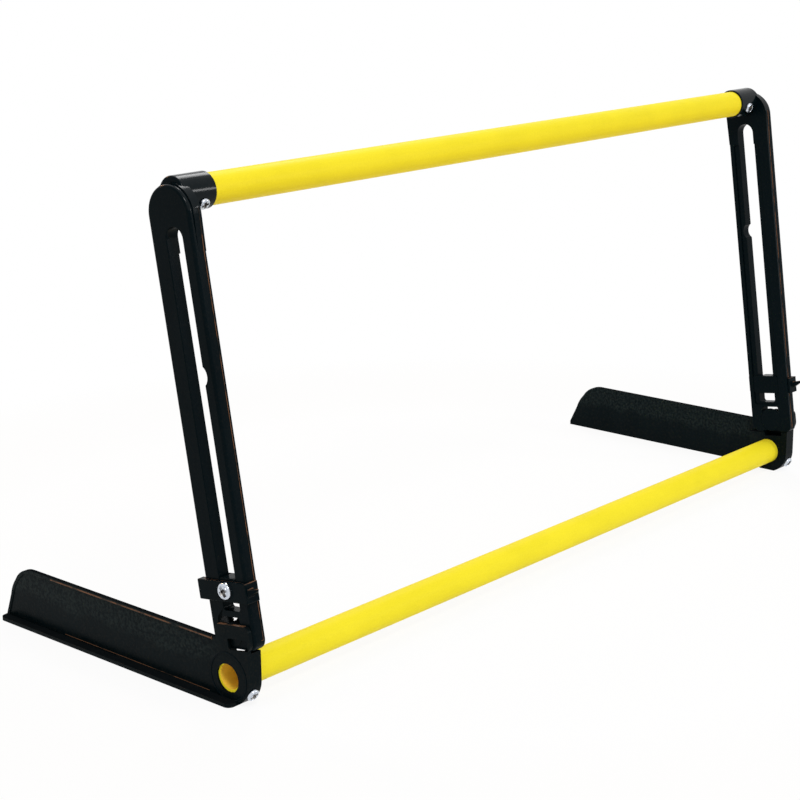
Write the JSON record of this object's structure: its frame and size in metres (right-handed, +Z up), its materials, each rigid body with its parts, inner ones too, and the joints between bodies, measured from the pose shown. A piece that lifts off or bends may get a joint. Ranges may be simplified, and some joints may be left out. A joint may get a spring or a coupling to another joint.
{
  "type": "agility hurdle",
  "caption": "Low agility hurdle with straight yellow bars between leaning slotted black legs, long flat feet and sliding clamp collars.",
  "frame": {"origin": "on the floor, below the centre of the bounding box", "axes": "+Z up, X along the bars with +X towards the right foot, +Y from the front of the hurdle to the rear, where the feet reach"},
  "size_m": [0.8302, 0.308, 0.4073],
  "materials": {
    "bar_plastic": "satin yellow tube",
    "black_plastic": "satin moulded, slight grain",
    "screw_steel": "bright plated",
    "nut_steel": "plain plated"
  },
  "bodies": {
    "frame": {"bottom_bar": "bar_plastic", "top_bar": "bar_plastic", "left_foot": "black_plastic", "right_foot": "black_plastic", "left_leg": "black_plastic", "right_leg": "black_plastic", "left_cap": "black_plastic", "right_cap": "black_plastic", "left_top_screw": "screw_steel", "right_top_screw": "screw_steel", "left_bottom_screw": "screw_steel", "right_bottom_screw": "screw_steel"},
    "left_slider": {"left_collar": "black_plastic", "left_clamp_plate": "black_plastic", "left_clamp_nut": "nut_steel"},
    "right_slider": {"right_collar": "black_plastic", "right_clamp_plate": "black_plastic", "right_clamp_nut": "nut_steel"},
    "left_screw": {"left_clamp_screw": "screw_steel"},
    "right_screw": {"right_clamp_screw": "screw_steel"}
  },
  "joints": [
    {"name": "left_collar_slide", "type": "slide", "parent": "frame", "child": "left_slider", "axis": [-0.0178, 0.1462, 0.9891], "range_m": [-0.0072, 0.248]},
    {"name": "right_collar_slide", "type": "slide", "parent": "frame", "child": "right_slider", "axis": [0.0178, 0.1462, 0.9891], "range_m": [-0.0092, 0.246]},
    {"name": "left_clamp_screw_turn", "type": "hinge", "parent": "left_slider", "child": "left_screw", "pos_m": [-0.4032, -0.12313, 0.09293], "axis": [-0.9998, -0.0026, -0.0176], "range_deg": [0, 360]},
    {"name": "right_clamp_screw_turn", "type": "hinge", "parent": "right_slider", "child": "right_screw", "pos_m": [0.40323, -0.11691, 0.09403], "axis": [0.9998, -0.0026, -0.0176], "range_deg": [0, 360]}
  ]
}
